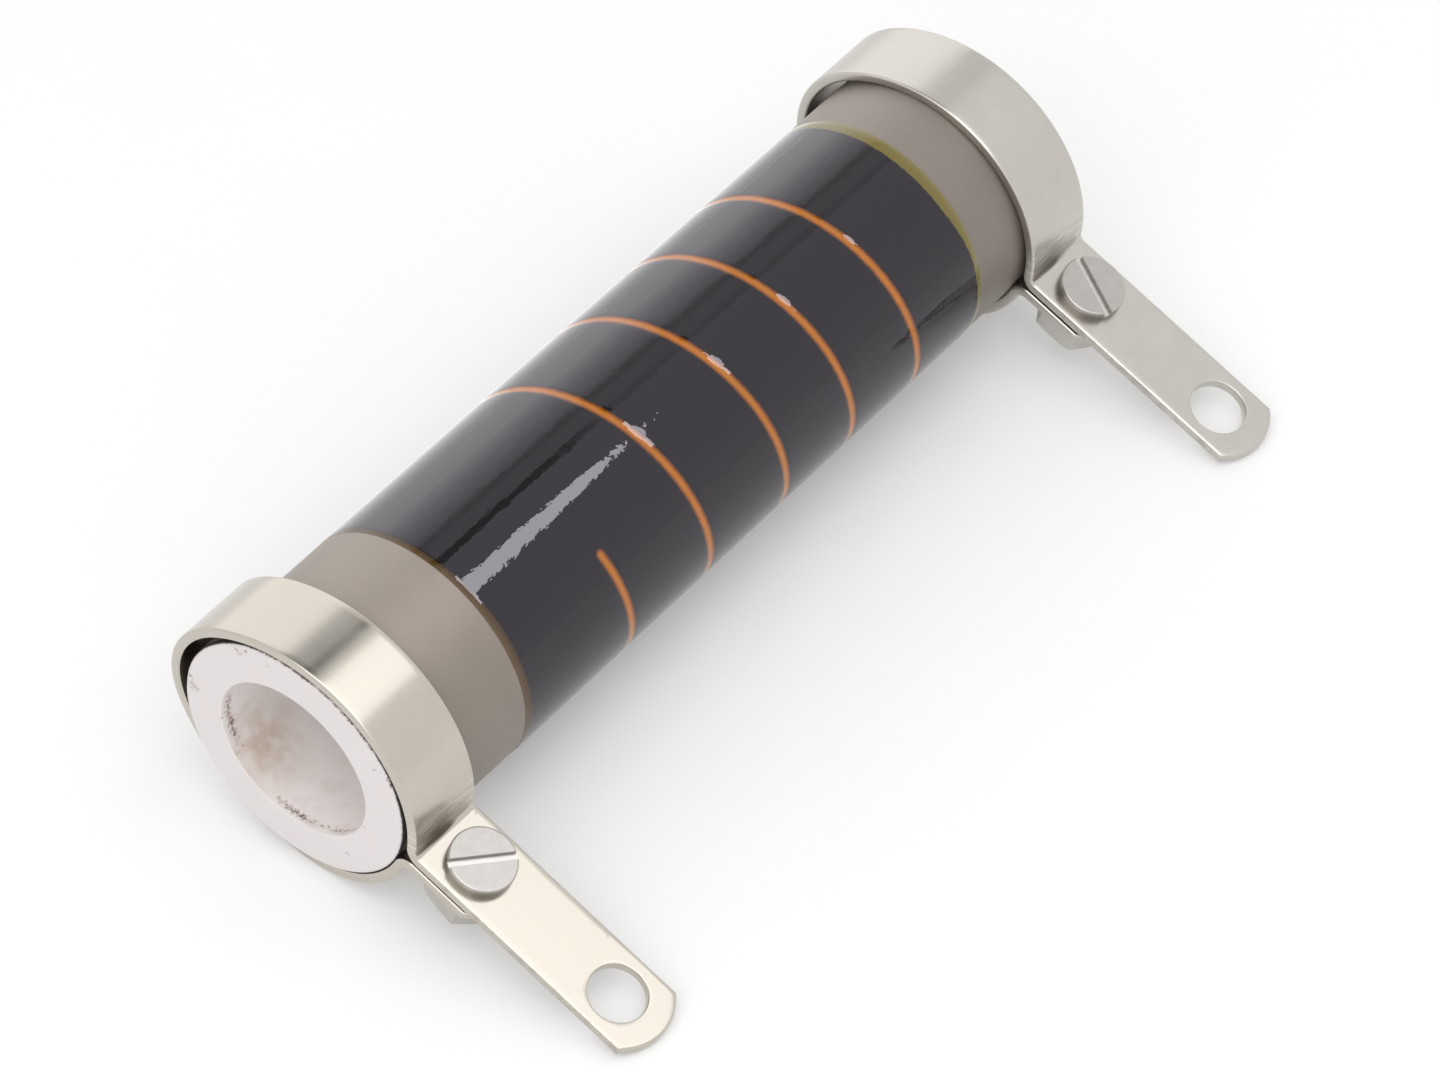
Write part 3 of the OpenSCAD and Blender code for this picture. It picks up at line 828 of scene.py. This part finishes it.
def head_chords():
    """Columns across the slot: chords at r cos t, and at each slot wall two columns, one high and one low."""
    outer = head_r * np.cos(np.radians(np.linspace(0, 90, 22)))
    outer = np.append(outer[outer > slot_half + 0.05], slot_half)
    floor = np.linspace(slot_half, -slot_half, 5)
    # Painted light across the slot: shade on its walls, a highlight on its floor.
    slot_painted_light = [wall_painted_shade, floor_painted_highlight, floor_painted_highlight, floor_painted_highlight, wall_painted_shade]
    return (join([outer, floor, -outer[::-1]]),
            join([0 * outer, 0 * floor + 1, 0 * outer]),
            join([0 * outer, slot_painted_light, 0 * outer]))


def slotted_head():
    """Top of the head: a point at share s of a chord lies at distance d from the axis, at the height of a
    flat top whose rim falls in a quarter circle, or on the slot's floor."""
    across, low, tone = head_chords()
    share = np.sin(np.radians(np.linspace(-90, 90, 41)))
    chord = np.sqrt(np.maximum(head_r ** 2 - across ** 2, 0.0))
    along = share[:, None] * chord[None]
    d = np.hypot(along, across[None])
    fall = np.clip((d - head_r + head_round) / head_round, 0.0, 1.0)
    top = head_h - head_round + head_round * np.sqrt(1 - fall ** 2)
    height = np.where(low[None] > 0, head_h - slot_deep, top)
    return stacked(along, across, height), tone + 0 * along


head_top, head_painted_light = slotted_head()
print("head grid", head_top.shape[:2])

# %% The screw below its head
shank_r, thread_pitch, thread_deep, thread_fade = 1.98, 0.7, 0.36, 0.5
thread_margin, end_margin, end_taper, neck = 0.3, 0.25, 0.45, 0.02
nut_t, screw_end = 2.8, 0.8
grip = lug_top - ear_under


def below_head(rim_line):
    """Rings under the head's rim line, at the same angles: its side, its underside, the neck, the thread and
    the end. The thread's radius is the shank's less its depth times a triangle wave of z / pitch + angle /
    turn."""
    turn = np.arctan2(rim_line[:, 1], rim_line[:, 0])
    length = grip + nut_t + screw_end
    thread_z = -np.linspace(grip - thread_margin, length - end_margin, 64)
    wave = np.abs(2 * ((thread_z[:, None] / thread_pitch + turn[None] / FULL) % 1.0) - 1)
    fade = np.clip((grip + thread_margin + thread_z) / -thread_fade, 0, 1)[:, None]
    rings_z = join([[0.0, 0.0, -neck], thread_z, [-length, -length]])
    ring = np.ones((1, len(turn)))
    rings_r = join([head_r * ring, shank_r * ring, shank_r * ring,
                    shank_r - thread_deep * wave * fade, (shank_r - end_taper) * ring, 0 * ring])
    rows = stacked(rings_r * np.cos(turn), rings_r * np.sin(turn), rings_z[:, None])
    return join([rim_line[None], rows])


screw_rings = below_head(join([head_top[-1], head_top[0, ::-1]]))
# The side of the head gets painted shade, and its rim row takes the top's painted light.
ring_painted_light = np.full(screw_rings.shape[:2], side_painted_shade)
ring_painted_light[0] = join([head_painted_light[-1], head_painted_light[0, ::-1]])
print("screw rings", screw_rings.shape[:2])

# %% A hex nut with its corners taken off
nut_bore, nut_corner, nut_chamfer, nut_inset, nut_drop, nut_cone = 2.03, 4.6, 0.35, 0.1, 0.05, 20.0


def hex_nut_rings():
    """Rings of a nut with a corner at angle 0: the hexagon's radius is flat / cos of the angle from the
    nearest flat's middle, and a cone lowers the face by what reaches past the flats."""
    flat_r = nut_flats / 2
    turn = np.linspace(0, FULL, 144, endpoint=False)
    away = turn % (np.pi / 3) - np.pi / 6
    side = np.minimum(flat_r / np.cos(away), nut_corner)
    drop = (side - flat_r) * math.tan(math.radians(nut_cone)) + nut_drop
    lip, face = nut_bore + nut_chamfer, flat_r - nut_inset
    radii = stacked(nut_bore, lip, face, side, side, face, lip, nut_bore).T
    heights = stacked(-nut_chamfer, 0.0, 0.0, -drop, drop - nut_t, -nut_t, -nut_t, nut_chamfer - nut_t).T
    return radii * np.cos(turn), radii * np.sin(turn), heights


nut_p, nut_q, nut_z = hex_nut_rings()
print("nut rings", nut_p.shape)

# %% Finish of the screws and nuts
# Colours of painted light: a highlight for the slot's floor and a shade for the head's side.
slot_painted_highlight, side_shade = (0.66, 0.63, 0.61, 1), (0.19, 0.172, 0.152, 1)


def plated(tint_low, tint_high, rough):
    """Barrel-plated steel: cloudy tint, small dents, a satin gloss, and by the tone a painted highlight on
    the slot's floor and painted shade on its walls and the head's side.
    """
    def make(wire):
        where = surface_mm(wire)
        cloud, dents = noise(where, 0.8, 4.0, 0.6), noise(where, 2.6)
        tone = stored(wire, "tone")
        # Painted highlight where the tone is below 0, painted shade where it is above 0.
        plate = mixed(step(0 - tone, 0.0, 1.0), mixed(cloud, tint_low, tint_high), slot_painted_highlight)
        return {"Base Color": mixed(step(tone, 0.0, 0.6) * 0.8, plate, side_shade), "Metallic": 1.0,
                "Roughness": rough + 0.16 * (dents - 0.5), "Normal": bumped(dents, 0.22, 0.05)}
    return make


screw_plate = finish("screw_plate", plated((0.42, 0.40, 0.38, 1), (0.52, 0.50, 0.478, 1), 0.30))
# Painted light: one plating in two copies, the front one painted darker and the rear one painted lighter.
nut_plate = {
    "front": finish("front_nut_painted_dim", plated((0.46, 0.44, 0.41, 1), (0.55, 0.53, 0.50, 1), 0.36)),
    "rear": finish("rear_nut_painted_bright", plated((0.54, 0.522, 0.49, 1), (0.63, 0.612, 0.576, 1), 0.36))}

# %% Two screws and two nuts
nut_crease = 25.0


def fastener(p, q, z, turn, place, height):
    """Puts a screw's or nut's own points on the screw's axis: turned about it, then laid with the strap."""
    c, s = math.cos(math.radians(turn)), math.sin(math.radians(turn))
    return laid(screw_reach + p * c - q * s, height + z, place - (p * s + q * c))


for end, slot_turn, nut_turn in (("front", 55, 50), ("rear", 157, 0)):
    place = band_place[end]
    shapes = [(head_top, head_painted_light, False), (screw_rings, ring_painted_light, True)]
    piece(end + "_slotted_screw",
          [grid(fastener(*np.moveaxis(points, -1, 0), slot_turn, place, lug_top), False, closed, tone=tone)
           for points, tone, closed in shapes], end + "_screw", screw_plate)
    piece(end + "_hex_nut", [grid(fastener(nut_p, nut_q, nut_z, nut_turn, place, ear_under), True, True)],
          end + "_nut", nut_plate[end], nut_crease)

# %% [markdown]
# ## Floor and light
# The photograph has a white ground and soft light from large panels, and bright metal and varnish show what
# stands round them. A painted sky could carry all of it, but the reflection of a lamp at a real distance
# stops where the lamp stops, so the front band is brighter than the rear one. Varnish is a mirror and satin
# metal is not, so light linking gives each its own lamps. On the varnish, a core lamp and a narrow cross lamp
# make the streak and the glints in the cut, and two wide weak lamps the sheen. A graded card above the tube
# draws the dark line along the varnish, as a photographer's flag does. The floor is a pale sheet that keeps
# the soft shadow and fades into the white ground.

# %% Pale floor
floor_low, floor_half = cad_low.z, 0.5
floor_near, floor_far, floor_glow = 260.0, 480.0, 0.205
corners = np.array([(-1, -1), (1, -1), (1, 1), (-1, 1)]) * floor_half
floor_mesh = bpy.data.meshes.new("floor")
floor_mesh.from_pydata([(x, y, floor_low) for x, y in corners.tolist()], [], [(0, 1, 2, 3)])
floor = bpy.data.objects.new("floor", floor_mesh)
scene.collection.objects.link(floor)


def pale_paper(wire):
    """Pale grey with faint clouds and a weak glow, clear from a certain distance on."""
    where = surface_mm(wire)
    return {"Base Color": mixed(noise(where, 0.05, 2.0), grey(0.80), grey(0.815)), "Roughness": 0.9,
            "Specular IOR Level": 0.1, "Alpha": 1 - step(measured("LENGTH", where), floor_near, floor_far),
            "Emission Color": grey(1.0), "Emission Strength": floor_glow}


floor_mesh.materials.append(finish("pale_paper", pale_paper))
print("floor at", round(1000 * floor_low, 3), "mm")

# %% White ground round the floor
fill_level = 0.65
world = bpy.data.worlds.new("white_ground")
scene.world = world
world.use_nodes = True
world.node_tree.nodes.clear()
sky = Wire(world.node_tree)
ray = sky.node("ShaderNodeLightPath", out="Is Camera Ray")
seen = ray + ray.other("Is Glossy Ray") + ray.other("Is Transmission Ray")
ground = sky.node("ShaderNodeBackground", None, {"Color": mixed(seen, grey(fill_level), grey(1.0))})
sky.node("ShaderNodeOutputWorld", None, {"Surface": ground})
print("ground is white to the camera, and fills shadows at", fill_level)


# %% Lamps
def facing(place, aim, turn=0.0):
    """Right, up and back directions of a sheet at a place in mm that faces a point. Its right side runs along
    the tube as far as it can, then both sides turn about its back direction."""
    back = np.array(place, float) - np.array(aim, float)
    back /= np.linalg.norm(back)
    right = np.cross((0.0, 1.0, 0.0), back)
    right /= np.linalg.norm(right)
    up = np.cross(back, right)
    c, s = math.cos(math.radians(turn)), math.sin(math.radians(turn))
    return c * right + s * up, c * up - s * right, back


def soft_lamp(name, place, size, radiance, aim=(0, 0, 0), shape="RECTANGLE", fade=90.0, turn=0.0):
    """A lamp of a size in mm that is even, or dies away with the angle from its axis as 1 - tan(angle) /
    tan(fade). Blender's watts are 4 times its area times the radiance on its axis, times 1 - fade /
    tan(fade)."""
    light = bpy.data.lights.new(name, "AREA")
    area = size[0] * size[1] * MM ** 2 * (1.0 if shape == "RECTANGLE" else math.pi / 4)
    light.shape, light.size, light.size_y = shape, size[0] * MM, size[1] * MM
    light.spread = 2.0 * math.radians(fade)
    light.energy = 4.0 * area * radiance * (1.0 - math.radians(fade) / math.tan(math.radians(fade)))
    lamp = bpy.data.objects.new(name, light)
    lamp.matrix_world = placed(*facing(place, aim, turn), np.array(place) * MM)
    lamp.visible_camera = False
    scene.collection.objects.link(lamp)
    print(name, round(light.energy, 2), "W")
    return lamp


soft_lamp("fill_panel", (420, 140, 525), (700, 700), radiance=0.85)
varnish_lamps = [
    soft_lamp("core_lamp", (-190, 177, 400), (128, 128), radiance=4.6, aim=(-190, 177, 0), shape="ELLIPSE"),
    soft_lamp("cross_lamp", (-171, 200, 400), (70, 250), radiance=5.0, aim=(-171, 200, 0), turn=14.4),
    soft_lamp("left_sheen", (-318, -479, 193), (850, 850), radiance=1.03, shape="ELLIPSE", fade=33.5),
    soft_lamp("left_glow", (-150, -200, -15), (560, 340), radiance=0.4, aim=(-150, -200, 100))]
metal_lamps = [
    soft_lamp("front_panel", (-13, 160, 375), (392, 279), radiance=0.7, aim=(-13, 0, 0)),
    soft_lamp("left_panel", (-300, -447, 258), (600, 600), radiance=0.3)]

# %% Lamps of their own for varnish and metal
for name, lamps, state in (("glossy_only", varnish_lamps, "INCLUDE"),
                           ("satin_only", metal_lamps, "EXCLUDE")):
    group = bpy.data.collections.new(name)
    group.objects.link(coat)
    group.collection_objects[0].light_linking.link_state = state
    for lamp in lamps:
        lamp.light_linking.receiver_collection = group
    print(name, "links", len(lamps), "lamps:", state.lower(), "the coat")


# %% A graded card
def graded_shade(wire):
    """How dense the card is, by its rise from 0 at the lower edge to 1 at the upper one: a haze with a denser
    trough, a stripe that ends sharply below the upper edge, and a shade for the front loop alone."""
    rise = stored(wire, "rise")
    along = parts(surface_mm(wire))
    trough = 0.20 * step(rise, 0.105, 0.26) * (1 - step(rise, 0.26, 0.43))
    haze = 0.12 * step(rise, 0.044, 0.26) + trough
    stripe = 0.66 * step(rise, 0.66, 0.71) * (0.15 + 0.85 * step(along, -250.0, -222.0))
    shade = 0.48 * step(rise, 0.06, 0.45) * step(along, -186.0, -164.0)
    below_top = 1 - step(rise, 0.845, 0.865)
    return {"Base Color": grey(0.05), "Roughness": 0.9, "Alpha": (haze + stripe) * below_top + shade}


def graded_card(name, place, size, aim):
    """A grey sheet that only reflections see: its place plus shares of its right and up directions."""
    right, up, _ = facing(place, aim)
    shares = corners / (2 * floor_half)
    points = np.array(place) + shares[:, :1] * size[0] * right + shares[:, 1:] * size[1] * up
    mesh = bpy.data.meshes.new(name)
    mesh.from_pydata((points * MM).tolist(), [], [(0, 1, 2, 3)])
    mesh.attributes.new("rise", "FLOAT", "POINT").data.foreach_set("value", shares[:, 1] + 0.5)
    mesh.materials.append(finish(name, graded_shade))
    card = bpy.data.objects.new(name, mesh)
    scene.collection.objects.link(card)
    card.visible_camera = card.visible_diffuse = card.visible_shadow = card.visible_transmission = False


graded_card("graded_card", (-200, -127, 391), (700, 267), (-200, 0, 0))

# %% Standard view transform
scene.view_settings.view_transform = "Standard"
